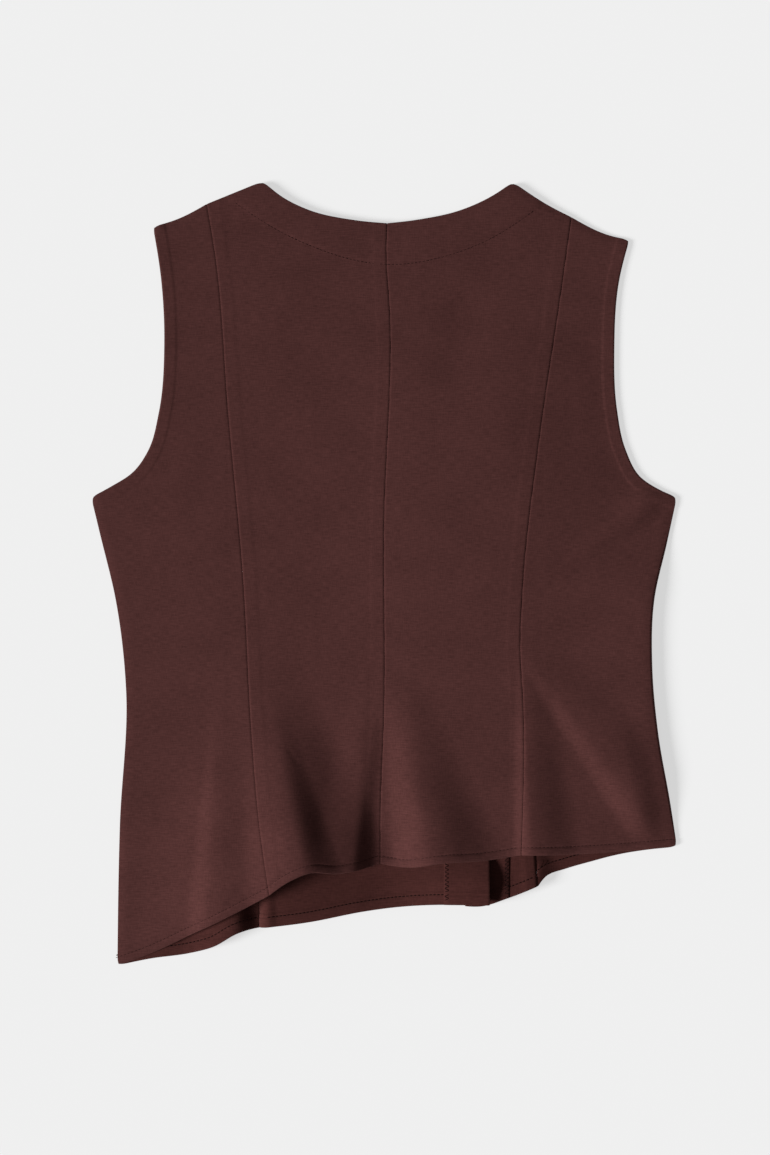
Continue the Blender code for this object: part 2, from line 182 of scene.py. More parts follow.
# Armholes, neck and shoulders
ARMHOLE_TURN = 8.5
ARMHOLE_TURN_EASE = 1.8
ARMHOLE_RAISE = 0.32
ARMHOLE_EDGE_EASE = 1.2
NECK_RAISE = 0.4
NECK_RAISE_START = 1.0
NECK_RAISE_EASE = 4.0
NECK_PRINT = 0.2
NECK_PRINT_WIDTH = 1.0
NECK_DOTS = 0.3  # share of the print that comes and goes from stitch to stitch
KNOB = 0.7  # bulk of the allowances at the outer end of the left shoulder
KNOB_SIZE = 4.0
KNOB_SHIFT = Spot(5, -1)

# Ladder of overlock threads that prints through beside the right armhole
LADDER_HEIGHT = 0.2
LADDER_PITCH = 3.1
LADDER_INSET = 11.0
LADDER_WIDTH = 3.0
LADDER_LEFT = 150.0
LADDER_LEFT_FADE = 10.0
LADDER_END = 128.0
LADDER_TOP = 200.0
LADDER_FADE = 12.0

# Stitches and threads
STITCH_LENGTH = 2.6
STITCH_GAP = 0.5
STITCH_LIFT = 0.05
FRONT_STITCH_LIFT = 0.1
THREAD = 0.45
HEM_THREAD = 0.9
NECK_THREAD = 0.5
NECK_STITCH_INSET = 8.0
NECK_STITCH_POINTS = 100
OVERLOCK_THREAD = 0.65
BUTTON_THREAD = 0.7
BUTTON_THREAD_REACH = 0.2  # past the middle of a hole
BUTTON_THREAD_HEIGHTS = (0.65, 0.55)
BUTTONHOLE = 17.0
BUTTONHOLE_START = -2.0
BUTTONHOLE_BITE = 1.6
BUTTONHOLE_SLIT = 0.2  # from its middle to the threads
BAR_SIDES = 6
BAR_SECTIONS = [
    BarSection(0.0, 0.4, -0.5), BarSection(0.2, 1.0, 0.0), BarSection(0.8, 1.0, 0.0),
    BarSection(1.0, 0.4, -0.5),
]

# Grid of the shells: distances of the first lines from an edge, and the step between the others
NEAR_SEAM = (0, 0.25, 0.55, 0.9, 1.4, 2.0, 2.8, 3.8, 5.0, 6.4, 7.8, 8.8, 9.8, 10.8, 12.0)
NEAR_HEM = (0, 0.3, 0.7, 1.2, 2.0, 3.0, 4.0, 5.0, 5.6, 6.2, 6.8, 7.6, 8.4, 9.2, 10.4, 12.0)
STEP = 1.9
FRONT_STEP = 3.0
FEWEST_STEPS = 4
NARROW_SHARE = 0.4  # the most of a narrow row that the first lines at either side take
PLAN_ROWS = 240
PLAN_COLUMNS = 64
BACK_SIDE_ROWS = int(PLAN_ROWS * 0.62)  # rows below the armhole
FRONT_SIDE_ROWS = int(PLAN_ROWS * 0.61)
SHOULDER_COLUMNS = PLAN_COLUMNS // 3
NECK_COLUMNS = 60  # in each half of the neck facing
NECK_ROWS = 16
FACING_COLUMNS = 20

# Colours and finishes
CLOTH_COLOUR = (0.072, 0.0248, 0.0227)
# The front insides and all facings take a darker copy of the cloth's colour: painted shade where the fronts
# show under the back's hem
INSIDE_SHADE_COLOUR = (0.054, 0.0161, 0.0139)
THREAD_COLOUR = (0.016, 0.006, 0.0055)
SOFT_THREAD_COLOUR = (0.036, 0.0135, 0.0125)
BUTTON_COLOUR = (0.035, 0.016, 0.014)
GROUND_COLOUR = (0.35, 0.35, 0.35)
CLOTH_ROUGHNESS = 0.95
BUTTON_ROUGHNESS = 0.35
GROUND_ROUGHNESS = 0.9
CLOTH_SPECULAR = 0.05
GROUND_SPECULAR = 0.0
GROUND_GLOW = 0.61
SHEEN = 0.05
SHEEN_ROUGHNESS = 0.6
SHEEN_TINT = (0.8, 0.5, 0.45)
WHITE = (1, 1, 1, 1)

# Weave: noise scales are per metre
WEFT = Noise((140, 1250, 1), 2)
WARP = Noise((1250, 200, 1), 1)
CLOUD = Noise((22, 30, 1), 2)
WEFT_SHARE = 0.65
THREAD_SHARE = 0.8
TONE_LOW = 0.3
TONE_HIGH = 0.7
WEAVE_CONTRAST = 0.33
# Grey lift on the palest threads: paler slubs, with painted glints on them
SLUB_AND_GLINT_LIFT = 0.007  # what the palest threads gain in every colour channel, at full contrast
BUMP_STRENGTH = 0.25
BUMP_DEPTH = 0.0004  # metres
MIX_FIRST, MIX_SECOND, MIX_RESULT = 6, 7, 2  # places of the colour sockets of a mix node

# Ground and lights, in metres and degrees
FLOOR_SIZE = 20.0
FLOOR_DROP = 0.0003
LIGHT_ELEVATION = 25.0
LIGHT_TURN = -14.0  # from straight left towards the neck
SUN_STRENGTH = 4.4
SUN_SOFTNESS = 20.0
FILL_POWER = 95.0
FILL_ANGLE = 34.0
FILL_BLEND = 1.0
FILL_SIZE = 0.3
FILL_PLACE = (-2.0, -1.3, 1.3)
FILL_AIM = (-0.05, -0.3, 0)
SKY = 0.14

# Camera
CAMERA_LENS = 100.0
CAMERA_SENSOR = 36.0
VIEW_HEIGHT = 924.0  # of the ground that the picture shows
VIEW_CENTRE = Spot(0.8, -3.2)

# Outline of the vest, from the hem upwards
LEFT_SIDE = [
    Spot(-213, -313), Spot(-211, -200), Spot(-206, -95), Spot(-214, -23), Spot(-227, 32),
    Spot(-234, 61),
]
LEFT_ARMHOLE = [
    Spot(-234, 61), Spot(-218, 69.5), Spot(-200, 81.5), Spot(-188, 99), Spot(-180, 128),
    Spot(-175.5, 185), Spot(-178, 235), Spot(-184.5, 277),
]
RIGHT_SIDE = [
    Spot(234, -218), Spot(229, -185), Spot(219, -127), Spot(214.4, -75), Spot(216, -21),
    Spot(226, 24), Spot(234, 61),
]
RIGHT_ARMHOLE = [
    Spot(234, 61), Spot(220, 67), Spot(204, 78), Spot(193, 99), Spot(186, 132), Spot(184, 180),
    Spot(188, 235), Spot(196, 266.5),
]

# Shoulders and neck, from left to right
LEFT_SHOULDER_OUTER = [Spot(-184.5, 277), Spot(-165, 283), Spot(-141.6, 295)]
LEFT_SHOULDER_INNER = [Spot(-141.6, 295), Spot(-97, 313)]
LEFT_NECK = [Spot(-97, 313), Spot(-80, 299.6), Spot(-60, 290), Spot(-24, 282), Spot(2.4, 279.4)]
RIGHT_NECK = [Spot(2.4, 279.4), Spot(29, 282.6), Spot(60, 289.5), Spot(86, 301), Spot(103, 312.4)]
RIGHT_SHOULDER_INNER = [Spot(103, 312.4), Spot(131, 294), Spot(149.6, 284.5)]
RIGHT_SHOULDER_OUTER = [Spot(149.6, 284.5), Spot(180, 270), Spot(196, 266.5)]

# Seams of the back, from the hem upwards
BACK_LEFT_SEAM = [
    Spot(-91, -255.5), Spot(-99.5, -197), Spot(-105.6, -129), Spot(-112.8, -1), Spot(-124.4, 127),
    Spot(-135, 255), Spot(-141.6, 295),
]
CENTRE_SEAM = [
    Spot(-3, -231.5), Spot(-3, -195), Spot(0, -109), Spot(0, 40), Spot(4.8, 203), Spot(1.8, 258),
    Spot(2.4, 279.4),
]
BACK_RIGHT_SEAM = [
    Spot(109.7, -224.3), Spot(111, -105), Spot(108.6, -60), Spot(110.4, -13), Spot(124.8, 115),
    Spot(141.6, 227), Spot(149.6, 284.5),
]

# Hem of the back, panel by panel from left to right
HEM_SIDE_LEFT = [
    Spot(-213, -313), Spot(-187, -303.6), Spot(-152, -287), Spot(-110.4, -266), Spot(-91, -255.5),
]
HEM_CENTRE_LEFT = [
    Spot(-91, -255.5), Spot(-74, -243.6), Spot(-58, -237.4), Spot(-39, -238.6), Spot(-3, -231.5),
]
HEM_CENTRE_RIGHT = [
    Spot(-3, -231.5), Spot(17.6, -234.4), Spot(45, -230.5), Spot(83, -228.4), Spot(109.7, -224.3),
]
HEM_SIDE_RIGHT = [
    Spot(109.7, -224.3), Spot(150, -224), Spot(182, -222.3), Spot(212, -220), Spot(234, -218),
]

# Seams and edges of the fronts, from the hem upwards. The seams share their upper points with the back
FRONT_LEFT_SEAM = [
    Spot(-99, -282.6), Spot(-103, -200), Spot(-107, -129), Spot(-113, -1),
] + BACK_LEFT_SEAM[-3:]
FRONT_RIGHT_SEAM = [
    Spot(122.5, -249.3), Spot(117, -150), Spot(112, -60), Spot(112, -13),
] + BACK_RIGHT_SEAM[-3:]
LEFT_FRONT_EDGE = [Spot(CLOSURE_X + OVERLAP / 2, -263.6), Spot(CLOSURE_X + OVERLAP / 2, CLOSURE_TOP)]
LEFT_NECKLINE = [LEFT_FRONT_EDGE[-1], Spot(-97, 313)]
RIGHT_FRONT_EDGE = [Spot(CLOSURE_X - OVERLAP / 2, -265.4), Spot(CLOSURE_X - OVERLAP / 2, CLOSURE_TOP)]
RIGHT_NECKLINE = [RIGHT_FRONT_EDGE[-1], Spot(103, 312.4)]

# Hem of the fronts, panel by panel from left to right
FRONT_HEM_SIDE_LEFT = [
    Spot(-213, -313), Spot(-187, -307.6), Spot(-155, -303), Spot(-137, -298), Spot(-115, -286),
    Spot(-99, -282.6),
]
FRONT_HEM_CENTRE_LEFT = [
    Spot(-99, -282.6), Spot(-61, -278), Spot(-16, -269.6), Spot(29, -264.5), LEFT_FRONT_EDGE[0],
]
FRONT_HEM_CENTRE_RIGHT = [RIGHT_FRONT_EDGE[0], Spot(77, -265.6), Spot(99, -258.8), Spot(122.5, -249.3)]
FRONT_HEM_SIDE_RIGHT = [
    Spot(122.5, -249.3), Spot(129, -241.5), Spot(144, -236), Spot(165, -230), Spot(184, -225),
    Spot(234, -218),
]

# Corners of the outline, which are worn round
CORNERS = [
    LEFT_SIDE[0], LEFT_SIDE[-1], LEFT_ARMHOLE[-1], LEFT_NECK[0], RIGHT_NECK[-1], RIGHT_ARMHOLE[-1],
    RIGHT_SIDE[-1], RIGHT_SIDE[0],
]

# Lower edge of the back neck facing
NECK_FACING_EDGE = [Spot(-126, 301.3), Spot(-75, 269), Spot(3, 246.8), Spot(78, 264), Spot(128, 296)]

# Largest folds. Each crest runs from its top, where the cloth is smooth, to its end, where it is highest
BACK_FOLDS = [
    Fold("side_left", -131, -85, -140, -290, 3.6, 20, 40),
    Fold("left_rise", -101, -60, -63, -250, 14.0, 150, 80),
    Fold("left_of_centre", -94, -95, -62, -250, 7.0, 54, 34),
    Fold("small_left", -13, -60, -28, -250, 2.6, 36, 18),
    Fold("centre_trough", 5, -60, -7, -250, -4.0, 20, 44),
    Fold("right_of_centre", 2, -66, 45, -245, 9.0, 38, 60),
    Fold("right_seam", 110, -40, 119, -240, 5.0, 18, 44),
    Fold("slanted", 96, -39, 206, -188, 5.0, 24, 58),
    Fold("underarm", 132, 0, 222, 60, 2.4, 16, 24),
]
LEFT_FRONT_FOLDS = [
    Fold("front_side", -122, -190, -119, -300, 9.0, 46, 22),
    Fold("front_left", -95, -170, -94, -282, 8.0, 6, 170),
    Fold("front_edge", 86, -222, 86, -250, 7.5, 90, 10),
]
RIGHT_FRONT_FOLDS = [Fold("front_right", 117, -200, 121, -258, 5.0, 50, 28)]

# Soft creases: a trough has a height under zero
BACK_CREASES = [
    Crease(-79, -138, -66, -155, -0.35, 1.2),
    Crease(72, 237, 47, 130, -1.3, 20),
    Crease(-60, 150, -30, 40, 0.6, 26),
    Crease(-150, 120, -172, 20, 0.5, 12),
]
LEFT_FRONT_CREASES = [
    Crease(-160, 120, -120, -40, 0.9, 14),
    Crease(-60, 60, -20, -90, 1.1, 18),
    Crease(-150, -120, -165, -230, 0.8, 12),
    Crease(-20, -130, -40, -250, 0.9, 15),
]
RIGHT_FRONT_CREASES = [
    Crease(150, 130, 175, 10, 0.8, 13),
    Crease(150, -60, 190, -170, 0.9, 14),
]

# Half of a button's section, from the middle of its upper face round its rim to the middle of its dished face
BUTTON_SECTION = [
    Spot(0, 2.5), Spot(5.6, 2.5), Spot(6.9, 2.2), Spot(7.5, 1.3), Spot(7.3, 0.6), Spot(6.7, 0.1),
    Spot(6.2, 0.0), Spot(5.5, 0.2), Spot(4.9, 0.7), Spot(0, 0.8),
]


def smooth(spots, per_span=24):
    """Points along a smooth curve through the spots."""
    p = np.array(spots, float)
    step = np.linalg.norm(np.diff(p, axis=0), axis=1)[:, None]
    slope = np.diff(p, axis=0) / step
    inner = (slope[:-1] * step[1:] + slope[1:] * step[:-1]) / (step[1:] + step[:-1])
    first = slope[:1] if len(inner) == 0 else 1.5 * slope[:1] - 0.5 * inner[:1]
    last = slope[-1:] if len(inner) == 0 else 1.5 * slope[-1:] - 0.5 * inner[-1:]
    tangent = np.concatenate([first, inner, last])
    t = np.linspace(0, 1, per_span, endpoint=False)[:, None]
    spans = []
    for k in range(len(p) - 1):
        spans.append(
            (2 * t**3 - 3 * t**2 + 1) * p[k]
            + (t**3 - 2 * t**2 + t) * step[k] * tangent[k]
            + (3 * t**2 - 2 * t**3) * p[k + 1]
            + (t**3 - t**2) * step[k] * tangent[k + 1]
        )
    return np.concatenate(spans + [p[-1:]])


def runs(line):
    """Distance along a line of points, at each of them."""
    return np.concatenate([[0], np.cumsum(np.linalg.norm(np.diff(line, axis=0), axis=1))])


def at_runs(line, at):
    """Points of a line at distances along it."""
    run = runs(line)
    return np.column_stack([np.interp(at, run, line[:, axis]) for axis in range(line.shape[1])])


def evenly(spots, steps):
    """The points that cut a smooth curve through the spots into equal steps."""
    line = smooth(spots)
    return at_runs(line, np.linspace(0, runs(line)[-1], steps + 1))


def joined(*lines):
    """Even points along several curves that meet end to end, each given with its steps."""
    parts = [evenly(spots, steps) for spots, steps in lines]
    return np.concatenate([parts[0]] + [part[1:] for part in parts[1:]])


def patch(bottom, top, left, right):
    """A grid of points that fills four edges: rows run up and columns run to the right."""
    u = np.linspace(0, 1, len(bottom))[None, :, None]
    v = np.linspace(0, 1, len(left))[:, None, None]
    across = (1 - u) * left[:, None] + u * right[:, None]
    upwards = (1 - v) * bottom[None] + v * top[None]
    corners = (1 - v) * ((1 - u) * bottom[0] + u * bottom[-1]) + v * ((1 - u) * top[0] + u * top[-1])
    return across + upwards - corners


def apart(grid, left=0.0, right=0.0):
    """The grid with its left and right columns moved in, to leave half a gap at a seam."""
    grid = grid.copy()
    grid[:, 0, 0] += left
    grid[:, -1, 0] -= right
    return grid


def worn(grid):
    """The grid with the corners of the vest's outline worn round."""
    grid = grid.copy()
    for corner in CORNERS:
        away = np.hypot(grid[..., 0] - corner.x, grid[..., 1] - corner.y)
        inward = -np.array(corner) / math.hypot(*corner)
        grid += inward * CORNER_CUT * (np.clip(1 - away / CORNER_REACH, 0, 1) ** 2)[..., None]
    return grid


def respaced(grid, near, step):
    """The grid with its columns at set distances from both sides and about one step apart between."""
    near = np.array(near)
    widths = [runs(row)[-1] for row in grid]
    count = max(FEWEST_STEPS, int(round((np.median(widths) - near[-1] - near[-1]) / step)))
    made = []
    for row, width in zip(grid, widths):
        shrink = min(1, NARROW_SHARE * width / near[-1])
        first, last = near * shrink, width - near[::-1] * shrink
        middle = np.linspace(first[-1], last[0], count + 1)[1:-1]
        made.append(at_runs(row, np.concatenate([first, middle, last])))
    return np.array(made)


def respaced_rows(grid, near, step):
    """The grid with its rows at set distances from both ends and about one step apart between."""
    return respaced(grid.transpose(1, 0, 2), near, step).transpose(1, 0, 2)


def finer(grid, sides, ends, step):
    """The plan of a panel as a fine grid, with its lines close together along its edges."""
    return worn(respaced_rows(respaced(grid, sides, step), ends, step))


def ease(t):
    """0 up to t = 0, 1 from t = 1, and a smooth rise between."""
    t = np.clip(t, 0, 1)
    return t * t * (3 - 2 * t)


def bell(away, width):
    """1 in the middle, with a smooth fall to about a third at the width."""
    return np.exp(-((away / width) ** 2))


def distance(x, y, line):
    """Distance of each point from a line on the plan."""
    best = np.full(x.shape, np.inf)
    for start, run in zip(line[:-1], np.diff(line, axis=0)):
        share = np.clip(((x - start[0]) * run[0] + (y - start[1]) * run[1]) / (run**2).sum(), 0, 1)
        best = np.minimum(best, np.hypot(x - start[0] - share * run[0], y - start[1] - share * run[1]))
    return best


def wobble(along, phase):
    """Uneven waves between about -1 and 1 along a seam or a hem."""
    return sum(
        wave.size * np.sin(along / wave.length + wave.turn * phase + wave.start) for wave in UNEVEN_WAVES
    )


def chain(*curves):
    """One line through several curves that meet end to end."""
    parts = [smooth(spots) for spots in curves]
    return np.concatenate([part[:-1] for part in parts[:-1]] + parts[-1:])


LEFT_OUTLINE = chain(LEFT_SIDE, LEFT_ARMHOLE)
RIGHT_OUTLINE = chain(RIGHT_SIDE, RIGHT_ARMHOLE)


def from_right(x, y):
    """Distance across the vest from its right side."""
    return np.interp(y, RIGHT_OUTLINE[:, 1], RIGHT_OUTLINE[:, 0]) - x


def inset(x, y):
    """Distance across the vest from its nearer side."""
    from_left = x - np.interp(y, LEFT_OUTLINE[:, 1], LEFT_OUTLINE[:, 0])
    return np.minimum(from_left, from_right(x, y))


def ridge(fold, x, y):
    """Height of one fold: it grows along its crest and falls away on both sides."""
    run_x, run_y = fold.end_x - fold.top_x, fold.end_y - fold.top_y
    length = math.hypot(run_x, run_y)
    along = ((x - fold.top_x) * run_x + (y - fold.top_y) * run_y) / length
    share = np.clip(along / length, 0, 1)
    aside = ((y - fold.top_y) * run_x - (x - fold.top_x) * run_y) / length
    width = np.where(aside < 0, fold.left, fold.right) * (FOLD_START + (1 - FOLD_START) * share)
    section = 0.5 * (1 + np.cos(math.pi * np.clip(aside / width, -1, 1)))
    return fold.height * ease(share) * ease(1 - (along - length) / FOLD_FADE) * section


def creased(crease, x, y):
    """Height of one crease: a soft ridge or trough that fades at both ends."""
    run_x, run_y = crease.end_x - crease.x, crease.end_y - crease.y
    length = math.hypot(run_x, run_y)
    share = ((x - crease.x) * run_x + (y - crease.y) * run_y) / length**2
    aside = ((x - crease.x) * run_y - (y - crease.y) * run_x) / length
    ends = ease(share * CREASE_ENDS) * ease((1 - share) * CREASE_ENDS)
    return crease.height * ends * bell(aside, crease.width)


def folded(x, y, folds, creases):
    """Height that folds and creases add to a front."""
    return sum(ridge(fold, x, y) for fold in folds) + sum(creased(crease, x, y) for crease in creases)


def below_neckline(y):
    """1 beside the closure and 0 well above it."""
    return ease((CLOSURE_TOP + CLOSURE_REST + CLOSURE_FADE - y) / CLOSURE_FADE)


def back_height(x, y):
    """Height at which the back lies."""
    away = inset(x, y)
    past = np.abs(x - CLOSURE_X) - OVERLAP
    closure = BACK_RISE * ease(1 - past / BACK_RAMP) * below_neckline(y)
    folds = sum(ridge(fold, x, y) for fold in BACK_FOLDS)
    creases = sum(creased(crease, x, y) for crease in BACK_CREASES)
    loft = LOFT * ease(away / LOFT_REACH)
    return WALL + GAP + loft + (closure + folds) * ease(away / FOLD_REACH) + creases


def left_front_height(x, y):
    """Height at which the left front lies, which climbs onto the right front."""
    climb = ease(1 - (RIGHT_FRONT_EDGE[0].x - LEDGE - x) / RAMP)
    return LEFT_RISE * climb * below_neckline(y) + folded(x, y, LEFT_FRONT_FOLDS, LEFT_FRONT_CREASES)


def right_front_height(x, y):
    """Height at which the right front lies, on the buttons."""
    climb = ease(1 - (x - LEFT_FRONT_EDGE[0].x - LEDGE) / RAMP)
    return RIGHT_RISE * climb * below_neckline(y) + folded(x, y, RIGHT_FRONT_FOLDS, RIGHT_FRONT_CREASES)


def raised(grid, height):
    """The flat grid as points in space, and the direction out of the cloth at each."""
    x, y = grid[..., 0], grid[..., 1]
    slope_x = (height(x + SLOPE_STEP, y) - height(x - SLOPE_STEP, y)) / (2 * SLOPE_STEP)
    slope_y = (height(x, y + SLOPE_STEP) - height(x, y - SLOPE_STEP)) / (2 * SLOPE_STEP)
    normals = np.stack([-slope_x, -slope_y, np.ones_like(x)], axis=-1)
    points = np.concatenate([grid, height(x, y)[..., None]], axis=-1)
    return points, normals / np.linalg.norm(normals, axis=-1, keepdims=True)


BACK_HEM = chain(HEM_SIDE_LEFT, HEM_CENTRE_LEFT, HEM_CENTRE_RIGHT, HEM_SIDE_RIGHT)
FACING_LINE = smooth(NECK_FACING_EDGE)
LEFT_SHOULDER = chain(LEFT_SHOULDER_OUTER, LEFT_SHOULDER_INNER)
RIGHT_SHOULDER = chain(RIGHT_SHOULDER_INNER, RIGHT_SHOULDER_OUTER)


def seam_side(x, y, seam, over_allowance, phase, depth=SEAM_DIP):
    """What one side of a seam adds to the height: a dip at the stitches, and a rise over the allowance."""
    away = distance(x, y, smooth(seam))
    dip = -depth * bell(away, SEAM_DIP_WIDTH)
    pucker = SEAM_PUCKER * wobble(y, phase) * np.exp(-away / SEAM_PUCKER_REACH)
    if not over_allowance:
        return dip + pucker
    edge = ALLOWANCE + ALLOWANCE_WAVE * wobble(y / ALLOWANCE_WAVE_STRETCH, phase)
    lift = ALLOWANCE_RAISE * (1 - ease((away - edge + ALLOWANCE_FADE_START) / ALLOWANCE_FADE))
    threads = 0.5 + 0.5 * np.cos(2 * math.pi * y / OVERLOCK_PITCH)
    beads = bell(away - edge, OVERLOCK_PRINT_WIDTH) * threads
    return dip + pucker + lift + OVERLOCK_PRINT * beads


def rolled(x, y):
    """What both faces of the back gain where it turns down to the front at sides and shoulders."""
    seams = [smooth(LEFT_SIDE), smooth(RIGHT_SIDE), LEFT_SHOULDER, RIGHT_SHOULDER]
    near = np.min([distance(x, y, seam) for seam in seams], axis=0)
    drop = -EDGE_DROP * (1 - np.clip(near / EDGE_ROLL, 0, 1)) ** 2
    away = from_right(x, y)
    turn = np.sqrt(1 - (1 - np.clip(away / SIDE_TURN, 0, 1)) ** 2)
    span = ease((SIDE_BULGE_TOP - y) / SIDE_BULGE_FADE) * ease((y - SIDE_BULGE_END) / SIDE_BULGE_FADE)
    return drop + SIDE_BULGE * ease(1 - away / SIDE_BULGE_REACH) * turn * span


def hem_sewing(x, y):
    """What the stitched hem adds to the height of the back."""
    hem = distance(x, y, BACK_HEM)
    groove = -HEM_GROOVE * bell(hem - HEM_STITCH, HEM_GROOVE_WIDTH)
    puff = HEM_PUFF * ease(hem / HEM_PUFF_EASE) * ease((HEM_STITCH - hem) / HEM_PUFF_EASE)
    spread = np.exp(-((hem - HEM_STITCH) ** 2) / HEM_RIPPLE_SPREAD)
    return groove + puff + HEM_RIPPLE * wobble(x, HEM_PHASE) * spread


def armhole_sewing(x, y):
    """What the turned armholes add to the height of the back, and the ladder beside the right one."""
    arm = np.minimum(distance(x, y, smooth(LEFT_ARMHOLE)), distance(x, y, smooth(RIGHT_ARMHOLE)))
    turned = ARMHOLE_RAISE * (1 - ease((arm - ARMHOLE_TURN) / ARMHOLE_TURN_EASE))
    rungs = LADDER_HEIGHT * np.cos(2 * math.pi * y / LADDER_PITCH) * bell(arm - LADDER_INSET, LADDER_WIDTH)
    across = ease((x - LADDER_LEFT) / LADDER_LEFT_FADE)
    along = ease((y - LADDER_END) / LADDER_FADE) * ease((LADDER_TOP - y) / LADDER_FADE)
    return turned * ease(arm / ARMHOLE_EDGE_EASE) + rungs * across * along


def neck_sewing(x, y):
    """What the neck facing and the left shoulder's allowances add to the height of the back."""
    facing = np.interp(x, FACING_LINE[:, 0], FACING_LINE[:, 1])
    inside = (y - facing) * ((x > FACING_LINE[0, 0]) & (x < FACING_LINE[-1, 0]))
    print_line = bell(inside, NECK_PRINT_WIDTH) * (np.abs(inside) > 0)
    dots = 1 - NECK_DOTS + NECK_DOTS * np.cos(2 * math.pi * x / OVERLOCK_PITCH)
    neck = NECK_RAISE * ease((inside + NECK_RAISE_START) / NECK_RAISE_EASE) - NECK_PRINT * print_line * dots
    shoulder = LEFT_SHOULDER_OUTER[0]
    away = np.hypot(x - shoulder.x - KNOB_SHIFT.x, y - shoulder.y - KNOB_SHIFT.y)
    return neck + KNOB * bell(away, KNOB_SIZE)


def sewn(x, y):
    """What hem, armholes, neck facing and shoulder seams add to the height of the back."""
    return hem_sewing(x, y) + armhole_sewing(x, y) + neck_sewing(x, y)


def placed(name, data):
    """A new object in the scene."""
    made = bpy.data.objects.new(name, data)
    bpy.context.scene.collection.objects.link(made)
    return made


def link(name, mesh, finish):
    """A piece of the vest, made from a mesh."""
    made = placed(name, mesh)
    made.data.materials.append(finish)
    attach(made, "root")
    return made


def smooth_piece(name, points, faces, finish):
    """A smooth piece of the vest, made from points and faces."""
    mesh = bpy.data.meshes.new(name)
    mesh.from_pydata((np.array(points) * MM).tolist(), [], faces)
    mesh.shade_smooth()
    return link(name, mesh, finish)


def around(rows, columns):
    """The cells along the edge of a grid, in order."""
    turns = [(0, j) for j in range(columns)] + [(i, columns - 1) for i in range(1, rows)]
    turns += [(rows - 1, j) for j in range(columns - 2, -1, -1)] + [(i, 0) for i in range(rows - 2, 0, -1)]
    return np.array(turns)


def shell(name, upper, under, bulge, finish):
    """A closed thin shell between two grids of points, with a rounded edge."""
    rows, columns = upper.shape[:2]
    turns = around(rows, columns)
    i, j = turns[:, 0], turns[:, 1]
    run = np.roll(upper[i, j], -1, axis=0) - np.roll(upper[i, j], 1, axis=0)
    out = np.column_stack([run[:, 1], -run[:, 0], np.zeros(len(run))])
    out /= np.linalg.norm(out, axis=1, keepdims=True)
    middle, half = (upper[i, j] + under[i, j]) / 2, (upper[i, j] - under[i, j]) / 2
    rounded = np.minimum(np.linalg.norm(half, axis=1), bulge)
    reach = np.where((j == 0) | (j == columns - 1), SIDE_EDGE, rounded)[:, None]
    rings = [
        middle + half * math.cos(math.radians(turn)) + out * reach * math.sin(math.radians(turn))
        for turn in RIM_TURNS
    ]
    cells = np.arange(rows * columns).reshape(rows, columns)
    a, b = cells[:-1, :-1].ravel(), cells[:-1, 1:].ravel()
    c, d = cells[1:, 1:].ravel(), cells[1:, :-1].ravel()
    total, edge = rows * columns, len(turns)
    faces = [np.column_stack([a, b, c, d]), np.column_stack([d, c, b, a]) + total]
    between = [2 * total + k * edge + np.arange(edge) for k in range(len(rings))]
    loops = [cells[i, j]] + between + [cells[i, j] + total]
    for above, below in zip(loops[:-1], loops[1:]):
        faces.append(np.column_stack([below, np.roll(below, -1), np.roll(above, -1), above]))
    points = np.concatenate([upper.reshape(-1, 3), under.reshape(-1, 3)] + rings)
    return smooth_piece(name, points, np.concatenate(faces).tolist(), finish)


def stitches(name, lines, thread, finish, side=1):
    """Short threads, each a rounded bar from one point to another with its ends sunk in the cloth.

    The side is 1 on the upper face of the cloth and -1 on its underside.
    """
    points, faces = [], []
    for start, end in lines:
        start, end = np.array(start), np.array(end)
        run = (end - start) / np.linalg.norm(end - start)
        aside = np.cross((0, 0, 1), run)
        aside /= np.linalg.norm(aside)
        up = np.cross(run, aside)
        first = len(points)
        for section in BAR_SECTIONS:
            middle = start + (end - start) * section.along + up * thread * section.sink * side
            for k in range(BAR_SIDES):
                turn = 2 * math.pi * k / BAR_SIDES
                rim = aside * math.cos(turn) + up * math.sin(turn)
                points.append(middle + rim * thread / 2 * section.swell)
        last = first + (len(BAR_SECTIONS) - 1) * BAR_SIDES
        for base in range(first, last, BAR_SIDES):
            for k in range(BAR_SIDES):
                m = (k + 1) % BAR_SIDES
                faces.append((base + k, base + m, base + BAR_SIDES + m, base + BAR_SIDES + k))
        faces.append(tuple(first + k for k in range(BAR_SIDES - 1, -1, -1)))
        faces.append(tuple(last + k for k in range(BAR_SIDES)))
    return smooth_piece(name, points, faces, finish)


def beside(spots, shift):
    """A curve moved to its left by a distance."""
    line = smooth(spots)
    run = np.gradient(line, axis=0)
    run /= np.linalg.norm(run, axis=1, keepdims=True)
    return line + shift * np.column_stack([-run[:, 1], run[:, 0]])


def stitch_line(line, surface, lift):
    """Start and end points of the stitches along a line on the plan, on a surface."""
    count = int(runs(line)[-1] / (STITCH_LENGTH + STITCH_GAP))
    at = np.arange(count) * (STITCH_LENGTH + STITCH_GAP) + STITCH_GAP
    ends = []
    for shift in (0, STITCH_LENGTH):
        spot = at_runs(line, at + shift)
        ends.append(np.column_stack([spot, surface(spot[:, 0], spot[:, 1]) + lift]))
    return list(zip(*ends))


def shader(name, colour, roughness):
    """A plain material, with its nodes and its shader."""
    made = bpy.data.materials.new(name)
    made.use_nodes = True
    bsdf = made.node_tree.nodes["Principled BSDF"]
    bsdf.inputs["Base Color"].default_value = (*colour, 1)
    bsdf.inputs["Roughness"].default_value = roughness
    return made, made.node_tree, bsdf


